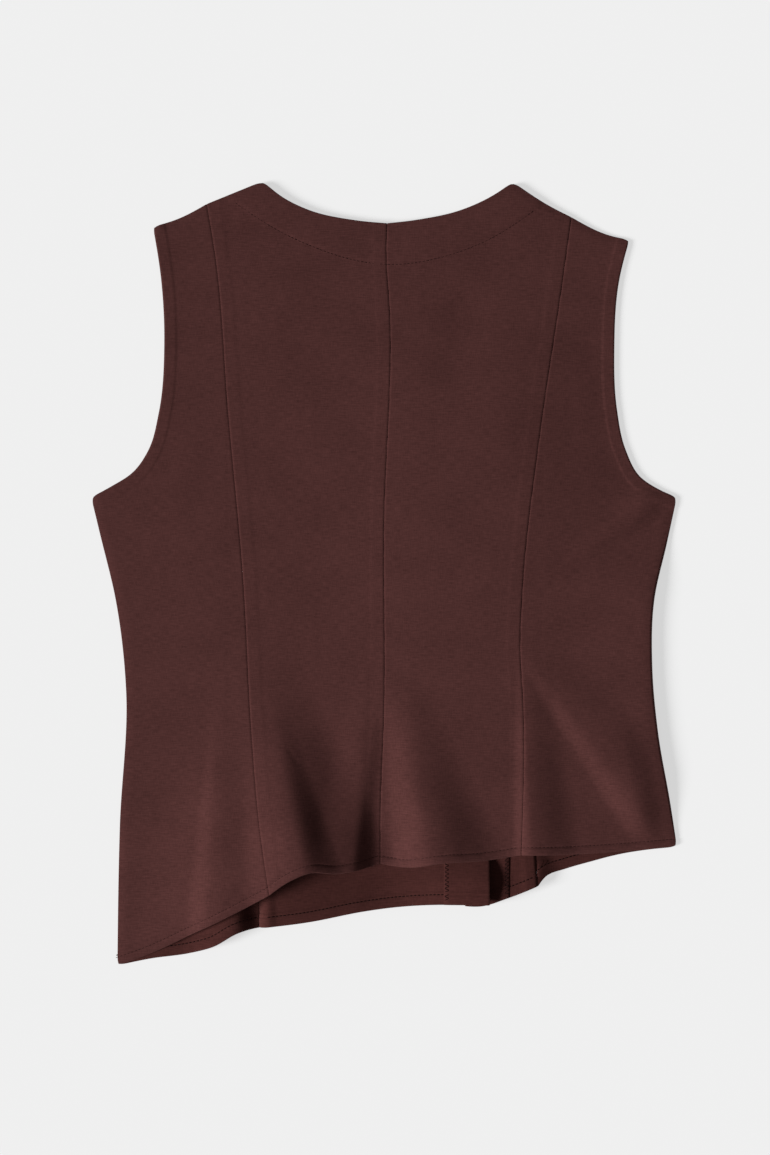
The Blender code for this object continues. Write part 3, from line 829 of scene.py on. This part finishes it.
def woven(name, colour):
    """Matte plain weave: uneven threads both ways, longer and stronger across the vest."""
    made, tree, bsdf = shader(name, colour, CLOTH_ROUGHNESS)
    bsdf.inputs["Specular IOR Level"].default_value = CLOTH_SPECULAR
    bsdf.inputs["Sheen Weight"].default_value = SHEEN
    bsdf.inputs["Sheen Roughness"].default_value = SHEEN_ROUGHNESS
    bsdf.inputs["Sheen Tint"].default_value = (*SHEEN_TINT, 1)
    node, wire = tree.nodes.new, tree.links.new
    place = node("ShaderNodeTexCoord")

    def noise(scale, detail):
        """Uneven spots, drawn out by the scale."""
        mapping = node("ShaderNodeMapping")
        mapping.inputs["Scale"].default_value = scale
        texture = node("ShaderNodeTexNoise")
        texture.inputs["Scale"].default_value = 1.0
        texture.inputs["Detail"].default_value = detail
        wire(place.outputs["Object"], mapping.inputs["Vector"])
        wire(mapping.outputs["Vector"], texture.inputs["Vector"])
        return texture.outputs["Fac"]

    def combine(operation, first, second):
        """One value made from two, which are numbers or sockets."""
        math_node = node("ShaderNodeMath")
        math_node.operation = operation
        for socket, value in zip(math_node.inputs, (first, second)):
            if isinstance(value, (int, float)):
                socket.default_value = value
            else:
                wire(value, socket)
        return math_node.outputs["Value"]

    def share(first, second, part):
        """Mix of two values, with the part that the first one has."""
        return combine("ADD", combine("MULTIPLY", first, part), combine("MULTIPLY", second, 1 - part))

    weft, warp, cloud = noise(*WEFT), noise(*WARP), noise(*CLOUD)
    threads = share(weft, warp, WEFT_SHARE)
    spread = node("ShaderNodeMapRange")
    spread.inputs["From Min"].default_value = TONE_LOW
    spread.inputs["From Max"].default_value = TONE_HIGH
    wire(share(threads, cloud, THREAD_SHARE), spread.inputs["Value"])
    dark = [channel * (1 - WEAVE_CONTRAST) for channel in colour]
    # The pale end takes a grey lift: paler threads, with painted glints on them
    pale = [channel * (1 + WEAVE_CONTRAST) + SLUB_AND_GLINT_LIFT * WEAVE_CONTRAST for channel in colour]
    paint = node("ShaderNodeMix")
    paint.data_type = "RGBA"
    paint.inputs[MIX_FIRST].default_value = (*dark, 1)
    paint.inputs[MIX_SECOND].default_value = (*pale, 1)
    wire(spread.outputs["Result"], paint.inputs["Factor"])
    wire(paint.outputs[MIX_RESULT], bsdf.inputs["Base Color"])
    bump = node("ShaderNodeBump")
    bump.inputs["Strength"].default_value = BUMP_STRENGTH
    bump.inputs["Distance"].default_value = BUMP_DEPTH
    wire(threads, bump.inputs["Height"])
    wire(bump.outputs["Normal"], bsdf.inputs["Normal"])
    return made


def sewing_thread(name, colour):
    """Matte thread."""
    made, _, bsdf = shader(name, colour, CLOTH_ROUGHNESS)
    bsdf.inputs["Specular IOR Level"].default_value = CLOTH_SPECULAR
    return made


CLOTH = woven("brown_weave", CLOTH_COLOUR)
# Darker copy of the weave: painted shade on the fronts' inside and on the facings
SHADED_INSIDE = woven("brown_weave_inside_painted_shade", INSIDE_SHADE_COLOUR)
SEWING = sewing_thread("sewing_thread", THREAD_COLOUR)
SOFT_SEWING = sewing_thread("soft_sewing_thread", SOFT_THREAD_COLOUR)
BUTTON, _, _ = shader("button_brown", BUTTON_COLOUR, BUTTON_ROUGHNESS)

BACK_PANELS = [
    BackPanel("back_side_left", HEM_SIDE_LEFT, None, False, BACK_LEFT_SEAM, False, ["front_side_left"]),
    BackPanel(
        "back_center_left", HEM_CENTRE_LEFT, BACK_LEFT_SEAM, True, CENTRE_SEAM, True,
        ["front_center_left", "front_facing_left", "back_neck_facing"],
    ),
    BackPanel(
        "back_center_right", HEM_CENTRE_RIGHT, CENTRE_SEAM, False, BACK_RIGHT_SEAM, True,
        ["front_facing_left", "front_center_right", "front_facing_right", "back_neck_facing"],
    ),
    BackPanel("back_side_right", HEM_SIDE_RIGHT, BACK_RIGHT_SEAM, False, None, False, ["front_side_right"]),
]


def back_plans():
    """The plans of the back panels, from left to right."""
    armhole_rows, neck_columns = PLAN_ROWS - BACK_SIDE_ROWS, PLAN_COLUMNS - SHOULDER_COLUMNS
    edges = [
        joined((LEFT_SIDE, BACK_SIDE_ROWS), (LEFT_ARMHOLE, armhole_rows)),
        evenly(BACK_LEFT_SEAM, PLAN_ROWS),
        evenly(CENTRE_SEAM, PLAN_ROWS),
        evenly(BACK_RIGHT_SEAM, PLAN_ROWS),
        joined((RIGHT_SIDE, BACK_SIDE_ROWS), (RIGHT_ARMHOLE, armhole_rows)),
    ]
    tops = [
        evenly(LEFT_SHOULDER_OUTER, PLAN_COLUMNS),
        joined((LEFT_SHOULDER_INNER, SHOULDER_COLUMNS), (LEFT_NECK, neck_columns)),
        joined((RIGHT_NECK, neck_columns), (RIGHT_SHOULDER_INNER, SHOULDER_COLUMNS)),
        evenly(RIGHT_SHOULDER_OUTER, PLAN_COLUMNS),
    ]
    plans = []
    for panel, top, left, right in zip(BACK_PANELS, tops, edges[:-1], edges[1:]):
        plan = patch(evenly(panel.hem, PLAN_COLUMNS), top, left, right)
        left_gap = GAP / 2 if panel.left_seam else 0.0
        right_gap = GAP / 2 if panel.right_seam else 0.0
        plans.append(apart(plan, left_gap, right_gap))
    return plans


def back_sewing(panel, x, y):
    """What the sewing adds to the height of a back panel's upper face."""
    added = sewn(x, y)
    if panel.left_seam:
        added = added + seam_side(x, y, panel.left_seam, panel.left_over, LEFT_SEAM_PHASE)
    if panel.right_seam:
        added = added + seam_side(x, y, panel.right_seam, panel.right_over, RIGHT_SEAM_PHASE)
    return added


def make_back(panel, plan):
    """One panel of the back, with the stitches along its hem."""
    grid = finer(plan, NEAR_SEAM, NEAR_HEM, STEP)
    points, normals = raised(grid, back_height)
    x, y = grid[..., 0], grid[..., 1]
    plain = points + normals * (WALL + rolled(x, y)[..., None])
    upper = plain + normals * back_sewing(panel, x, y)[..., None]
    past = distance(x, y, BACK_HEM) - HEM_STITCH - HEM_TURN_PAST
    turned = TURNING * (1 - ease(past / HEM_TURN_EASE)) * ease(inset(x, y) / HEM_FADE)
    under = plain - normals * (THICKNESS + turned)[..., None]
    piece = shell(panel.node + "_cloth", upper, under, CLOTH_EDGE, CLOTH)
    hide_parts(panel.node)

    def face(x, y):
        return back_height(x, y) + WALL + rolled(x, y) + back_sewing(panel, x, y)

    lines = stitch_line(beside(panel.hem, HEM_STITCH), face, STITCH_LIFT)
    hem = stitches(panel.node + "_hem_stitches", lines, THREAD, SOFT_SEWING)


def make_neck_facing():
    """The facing inside the back neck, under the back, and the stitches that hold its lower edge."""
    ends = evenly(NECK_FACING_EDGE, 1)
    plan = patch(
        evenly(NECK_FACING_EDGE, 2 * NECK_COLUMNS),
        joined((LEFT_NECK, NECK_COLUMNS), (RIGHT_NECK, NECK_COLUMNS)),
        evenly([ends[0], LEFT_NECK[0]], NECK_ROWS),
        evenly([ends[1], RIGHT_NECK[-1]], NECK_ROWS),
    )
    shorter = []
    for row in worn(plan):
        at = np.linspace(NECK_FACING_INSET, runs(row)[-1] - NECK_FACING_INSET, len(row))
        shorter.append(at_runs(row, at))
    plan = np.array(shorter)
    points, normals = raised(plan, back_height)
    points = points + normals * rolled(plan[..., 0], plan[..., 1])[..., None]
    upper = points + normals * (WALL - THICKNESS - NECK_FACING_GAP)
    lower = upper - normals * NECK_FACING_THICKNESS
    piece = shell("back_neck_facing_cloth", upper, lower, FACING_EDGE, SHADED_INSIDE)
    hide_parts("back_neck_facing")

    def face(x, y):
        return back_height(x, y) + WALL + rolled(x, y) + sewn(x, y)

    end = runs(FACING_LINE)[-1] - NECK_STITCH_INSET
    line = at_runs(FACING_LINE, np.linspace(NECK_STITCH_INSET, end, NECK_STITCH_POINTS))
    held = stitches("back_neck_facing_stitches", stitch_line(line, face, 0.0), NECK_THREAD, SEWING)


FRONT_PANELS = [
    FrontPanel("front_side_left", FRONT_HEM_SIDE_LEFT, FRONT_LEFT_SEAM, False, left_front_height, []),
    FrontPanel(
        "front_center_left", FRONT_HEM_CENTRE_LEFT, FRONT_LEFT_SEAM, True, left_front_height,
        ["front_facing_right_cloth"],
    ),
    FrontPanel(
        "front_center_right", FRONT_HEM_CENTRE_RIGHT, FRONT_RIGHT_SEAM, True, right_front_height,
        [f"button_{number + 1}_disc" for number in range(BUTTON_COUNT)],
    ),
    FrontPanel("front_side_right", FRONT_HEM_SIDE_RIGHT, FRONT_RIGHT_SEAM, False, right_front_height, []),
]


def front_plans():
    """The plans of the front panels, from left to right."""
    upper_rows = PLAN_ROWS - FRONT_SIDE_ROWS
    left_seam = evenly(FRONT_LEFT_SEAM, PLAN_ROWS)
    right_seam = evenly(FRONT_RIGHT_SEAM, PLAN_ROWS)
    edges = [
        (joined((LEFT_SIDE, FRONT_SIDE_ROWS), (LEFT_ARMHOLE, upper_rows)), left_seam),
        (left_seam, joined((LEFT_FRONT_EDGE, FRONT_SIDE_ROWS), (LEFT_NECKLINE, upper_rows))),
        (joined((RIGHT_FRONT_EDGE, FRONT_SIDE_ROWS), (RIGHT_NECKLINE, upper_rows)), right_seam),
        (right_seam, joined((RIGHT_SIDE, FRONT_SIDE_ROWS), (RIGHT_ARMHOLE, upper_rows))),
    ]
    tops = [LEFT_SHOULDER_OUTER, LEFT_SHOULDER_INNER, RIGHT_SHOULDER_INNER, RIGHT_SHOULDER_OUTER]
    plans = []
    for panel, top, (left, right) in zip(FRONT_PANELS, tops, edges):
        plans.append(patch(evenly(panel.hem, PLAN_COLUMNS), evenly(top, PLAN_COLUMNS), left, right))
    side_left, centre_left, centre_right, side_right = plans
    return [
        apart(side_left, right=GAP / 2),
        apart(centre_left, left=GAP / 2),
        apart(centre_right, right=GAP / 2),
        apart(side_right, left=GAP / 2),
    ]


def front_inside(panel, x, y):
    """What the turned-up hem and the seam add to the height of a front's inside."""
    hem = distance(x, y, smooth(panel.hem))
    turned = FRONT_TURNING * (1 - ease((hem - FRONT_HEM_TURN) / FRONT_TURN_EASE))
    groove = -FRONT_HEM_GROOVE * bell(hem - FRONT_HEM_STITCH, FRONT_HEM_GROOVE_WIDTH)
    spread = np.exp(-((hem - FRONT_HEM_STITCH) ** 2) / HEM_RIPPLE_SPREAD)
    pucker = HEM_RIPPLE * wobble(x, FRONT_HEM_PHASE) * spread
    allowance = 0.0
    if panel.over:
        away = distance(x, y, smooth(panel.seam))
        fade = 1 - ease((away - ALLOWANCE) / FRONT_ALLOWANCE_FADE)
        allowance = FRONT_ALLOWANCE * fade * ease(away / FRONT_ALLOWANCE_START)
    sewing = (turned + groove + pucker) * ease(inset(x, y) / HEM_FADE)
    return sewing + allowance + seam_side(x, y, panel.seam, False, FRONT_SEAM_PHASE, FRONT_INSIDE_DIP)


def make_front(panel, plan):
    """One panel of the fronts, with the stitches along its hem."""
    grid = finer(plan, NEAR_SEAM[::2], NEAR_HEM, FRONT_STEP)
    points, normals = raised(grid, panel.height)
    x, y = grid[..., 0], grid[..., 1]
    upper = points + normals * (THICKNESS + front_inside(panel, x, y)[..., None])
    groove = FRONT_SEAM_DIP * bell(distance(x, y, smooth(panel.seam)), SEAM_DIP_WIDTH)
    under = points + normals * groove[..., None]
    piece = shell(panel.node + "_cloth", upper, under, CLOTH_EDGE, SHADED_INSIDE)
    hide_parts(panel.node)

    def face(x, y):
        return panel.height(x, y) + THICKNESS + front_inside(panel, x, y)

    lines = stitch_line(beside(panel.hem, FRONT_HEM_STITCH), face, FRONT_STITCH_LIFT)
    hem = stitches(panel.node + "_hem_stitches", lines, HEM_THREAD, SEWING)


def overlocked(edge, inward, surface):
    """Threads that bind a raw edge: each pair runs in from it and back to it, one pitch further on."""
    at = np.arange(OVERLOCK_PITCH, runs(edge)[-1] - OVERLOCK_PITCH, OVERLOCK_PITCH)
    lines = []
    for run in at:
        outer, last = at_runs(edge, [run, run + OVERLOCK_PITCH])
        inner = at_runs(inward, [run + OVERLOCK_PITCH / 2])[0]
        spots = np.array([outer, inner, last])
        spots = np.column_stack([spots, surface(spots[:, 0], spots[:, 1])])
        lines += [(spots[0], spots[1]), (spots[1], spots[2])]
    return lines


def make_front_facing(name, plan, panel, at_left):
    """The facing along a front edge, at the left or right of its panel, with its overlocked inner edge."""
    rows = plan if at_left else plan[:, ::-1]
    strip = []
    for row in rows:
        width = min(FACING_WIDTH, FACING_SHARE * runs(row)[-1])
        inner = np.linspace(0, width - OVERLOCK_WIDTH, FACING_COLUMNS)
        strip.append(at_runs(row, np.concatenate([inner, [width]])))
    strip = np.array(strip) if at_left else np.array(strip)[:, ::-1]
    strip = worn(respaced_rows(strip, NEAR_HEM, FRONT_STEP))

    def lower_face(x, y):
        return THICKNESS + LAYER_GAP + front_inside(panel, x, y)

    def face(x, y):
        return panel.height(x, y) + lower_face(x, y) + FACING_THICKNESS

    points, normals = raised(strip, panel.height)
    lower = points + normals * lower_face(strip[..., 0], strip[..., 1])[..., None]
    upper = lower + normals * FACING_THICKNESS
    piece = shell(name + "_cloth", upper, lower, FACING_EDGE, SHADED_INSIDE)
    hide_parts(name)
    edge, inward = (strip[:, -1], strip[:, -2]) if at_left else (strip[:, 0], strip[:, 1])
    lines = overlocked(edge, inward, face)
    threads = stitches(name + "_overlock", lines, OVERLOCK_THREAD, SEWING)


def make_fronts():
    """The panels of the fronts and the facings along their edges."""
    plans = front_plans()
    for panel, plan in zip(FRONT_PANELS, plans):
        make_front(panel, plan)
    make_front_facing("front_facing_left", plans[1], FRONT_PANELS[1], at_left=False)
    make_front_facing("front_facing_right", plans[2], FRONT_PANELS[2], at_left=True)


def turned_button():
    """A round button with a raised rim and four holes, with its dished face down."""
    disc = bmesh.new()
    profile = [disc.verts.new((spot.x, 0, spot.y)) for spot in BUTTON_SECTION]
    edges = [disc.edges.new(pair) for pair in zip(profile[:-1], profile[1:])]
    bmesh.ops.spin(
        disc, geom=profile + edges, axis=(0, 0, 1), cent=(0, 0, 0), steps=BUTTON_SIDES, angle=2 * math.pi
    )
    bmesh.ops.remove_doubles(disc, verts=disc.verts, dist=WELD)
    bmesh.ops.recalc_face_normals(disc, faces=disc.faces)
    drill = bmesh.new()
    radius = HOLE_SIZE / 2
    for x in (-HOLE_OFFSET, HOLE_OFFSET):
        for y in (-HOLE_OFFSET, HOLE_OFFSET):
            made = bmesh.ops.create_cone(
                drill, cap_ends=True, segments=HOLE_SIDES, radius1=radius, radius2=radius, depth=DRILL_LENGTH
            )
            bmesh.ops.translate(drill, verts=made["verts"], vec=(x, y, 0))
    blanks = []
    for name, shape in (("button_blank", disc), ("button_drill", drill)):
        mesh = bpy.data.meshes.new(name)
        shape.to_mesh(mesh)
        shape.free()
        blanks.append(placed(name, mesh))
    holes = blanks[0].modifiers.new("holes", "BOOLEAN")
    holes.operation = "DIFFERENCE"
    holes.object = blanks[1]
    drilled = bpy.data.meshes.new_from_object(blanks[0].evaluated_get(bpy.context.evaluated_depsgraph_get()))
    for blank in blanks:
        bpy.data.objects.remove(blank)
    drilled.materials.clear()
    drilled.shade_smooth()
    drilled.set_sharp_from_angle(angle=math.radians(SHARP_ANGLE))
    drilled.transform(Matrix.Scale(MM, 4))
    return drilled


def crossed_threads(middle):
    """The two threads that cross a button, from hole to hole."""
    reach = HOLE_OFFSET + BUTTON_THREAD_REACH
    first, second = BUTTON_THREAD_HEIGHTS
    return [
        (middle + (-reach, -reach, first), middle + (reach, reach, first)),
        (middle + (-reach, reach, second), middle + (reach, -reach, second)),
    ]


def buttonhole(middle):
    """The threads along both lips of a buttonhole."""
    lines = []
    for step in np.arange(BUTTONHOLE_START, BUTTONHOLE + BUTTONHOLE_START, THREAD):
        for lip in (-1, 1):
            ends = []
            for away in (BUTTONHOLE_SLIT, BUTTONHOLE_SLIT + BUTTONHOLE_BITE):
                x, y = middle[0] + step, middle[1] + lip * away
                ends.append((x, y, right_front_height(x, y)))
            lines.append(ends)
    return lines


def make_buttons():
    """Buttons under the right front, each sewn on through its holes, and their buttonholes."""
    drilled = turned_button()
    for number in range(BUTTON_COUNT):
        node = f"button_{number + 1}"
        middle = np.array([CLOSURE_X, TOP_BUTTON_Y - number * BUTTON_SPACING, 0])
        mesh = drilled.copy()
        mesh.transform(Matrix.Translation(Vector(middle * MM)))
        piece = link(node + "_disc", mesh, BUTTON)
        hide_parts(node)
        stitches(node + "_thread", crossed_threads(middle), BUTTON_THREAD, SEWING, side=-1)
        stitches(node + "_buttonhole", buttonhole(middle), THREAD, SEWING, side=-1)


def make_ground():
    """A pale floor just under the vest, with a glow that keeps it even."""
    finish, _, bsdf = shader("pale_ground", GROUND_COLOUR, GROUND_ROUGHNESS)
    bsdf.inputs["Specular IOR Level"].default_value = GROUND_SPECULAR
    bsdf.inputs["Emission Color"].default_value = WHITE
    bsdf.inputs["Emission Strength"].default_value = GROUND_GLOW
    half = FLOOR_SIZE / 2
    corners = [(-half, -half), (half, -half), (half, half), (-half, half)]
    mesh = bpy.data.meshes.new("ground")
    mesh.from_pydata([(x, y, -FLOOR_DROP) for x, y in corners], [], [(0, 1, 2, 3)])
    mesh.materials.append(finish)
    ground = placed("ground", mesh)
    return ground


def make_sun():
    """Low soft light from the left."""
    data = bpy.data.lights.new("key", "SUN")
    data.energy = SUN_STRENGTH
    data.angle = math.radians(SUN_SOFTNESS)
    sun = placed("key", data)
    sun.rotation_euler = (0, -math.radians(90 - LIGHT_ELEVATION), -math.radians(LIGHT_TURN))


def make_fill(ground):
    """A soft spot on the lower part of the vest, which leaves the ground as it is."""
    data = bpy.data.lights.new("fill", "SPOT")
    data.energy = FILL_POWER
    data.spot_size = math.radians(FILL_ANGLE)
    data.spot_blend = FILL_BLEND
    data.shadow_soft_size = FILL_SIZE
    fill = placed("fill", data)
    fill.location = FILL_PLACE
    fill.rotation_euler = (Vector(FILL_AIM) - fill.location).to_track_quat("-Z", "Y").to_euler()
    lit = bpy.data.collections.new("lit_by_fill")
    for piece in bpy.data.objects:
        if piece.type == "MESH" and piece != ground:
            lit.objects.link(piece)
    fill.light_linking.receiver_collection = lit


def make_sky():
    """Faint even light from all round."""
    world = bpy.data.worlds.new("room")
    world.use_nodes = True
    background = world.node_tree.nodes["Background"]
    background.inputs["Color"].default_value = WHITE
    background.inputs["Strength"].default_value = SKY
    bpy.context.scene.world = world


def make_camera():
    """A camera straight above the vest."""
    data = bpy.data.cameras.new("camera")
    data.lens = CAMERA_LENS
    data.sensor_width = CAMERA_SENSOR
    camera = placed("camera", data)
    height = VIEW_HEIGHT * MM * CAMERA_LENS / CAMERA_SENSOR
    camera.location = (VIEW_CENTRE.x * MM, VIEW_CENTRE.y * MM, height)
    bpy.context.scene.camera = camera
    bpy.context.scene.view_settings.view_transform = "Standard"


for back_panel, back_plan in zip(BACK_PANELS, back_plans()):
    make_back(back_panel, back_plan)
make_neck_facing()
make_fronts()
make_buttons()
floor = make_ground()
make_sun()
make_fill(floor)
make_sky()
make_camera()
